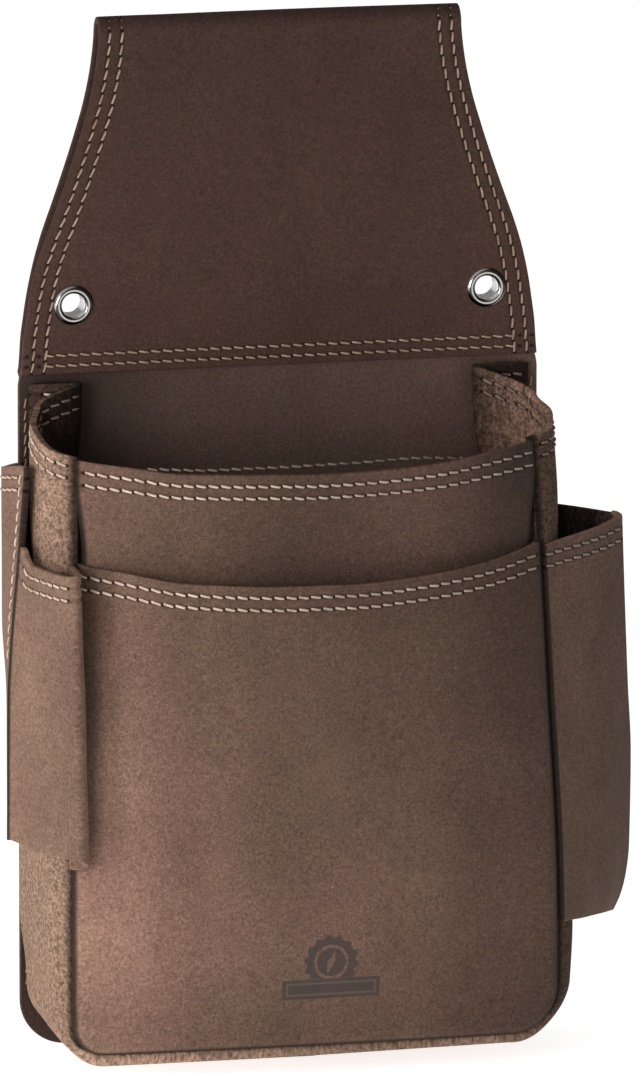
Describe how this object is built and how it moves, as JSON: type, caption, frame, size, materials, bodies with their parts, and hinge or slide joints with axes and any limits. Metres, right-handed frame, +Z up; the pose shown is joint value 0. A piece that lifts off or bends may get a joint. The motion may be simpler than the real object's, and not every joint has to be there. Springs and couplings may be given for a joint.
{
  "type": "electrician tool pouch",
  "caption": "Leather belt pouch with a folded belt loop, a deep bellows compartment, a full-width front pocket and two side pockets.",
  "frame": {"origin": "centre of the belt tunnel inside the folded belt loop, on the mid plane of the back panel", "axes": "+X to the right seen from the front, +Y back towards the wearer's hip, +Z up"},
  "size_m": [0.2139, 0.0722, 0.3486],
  "materials": {
    "nubuck_leather": "matt oiled nubuck",
    "suede_leather": "napped split suede",
    "sewing_thread": "waxed twisted thread",
    "nickel": "nickel plated, polished"
  },
  "bodies": {
    "belt_loop": {"belt_loop_wrap": "nubuck_leather", "back_panel_tab": "nubuck_leather", "eyelet_left": "nickel", "eyelet_right": "nickel", "eyelet_washer_left": "nickel", "eyelet_washer_right": "nickel", "thread_loop_left_outer": "sewing_thread", "thread_loop_left_inner": "sewing_thread", "thread_loop_right_outer": "sewing_thread", "thread_loop_right_inner": "sewing_thread", "thread_loop_hem_lower": "sewing_thread", "thread_loop_hem_upper": "sewing_thread"},
    "pouch": {"back_panel": "nubuck_leather", "belt_loop_tail": "nubuck_leather", "front_pocket_panel": "nubuck_leather", "main_front_panel": "nubuck_leather", "gusset_left": "suede_leather", "gusset_right": "suede_leather", "right_pocket_front": "nubuck_leather", "right_pocket_rear": "suede_leather", "left_pocket_side_wall": "nubuck_leather", "left_pocket_front": "nubuck_leather", "thread_tail": "sewing_thread", "thread_front_pocket_upper": "sewing_thread", "thread_front_pocket_lower": "sewing_thread", "thread_main_lip_upper": "sewing_thread", "thread_main_lip_lower": "sewing_thread", "thread_gusset_left_upper": "sewing_thread", "thread_gusset_left_lower": "sewing_thread", "thread_gusset_right_upper": "sewing_thread", "thread_gusset_right_lower": "sewing_thread", "thread_right_pocket_upper": "sewing_thread", "thread_right_pocket_lower": "sewing_thread", "thread_left_wall_upper": "sewing_thread", "thread_left_wall_lower": "sewing_thread", "thread_left_pocket_upper": "sewing_thread", "thread_left_pocket_lower": "sewing_thread"}
  },
  "joints": [
    {"name": "pouch_swing", "type": "hinge", "parent": "belt_loop", "child": "pouch", "pos_m": [0, 0, -0.074], "axis": [-1, 0, 0], "range_deg": [0, 45]}
  ]
}
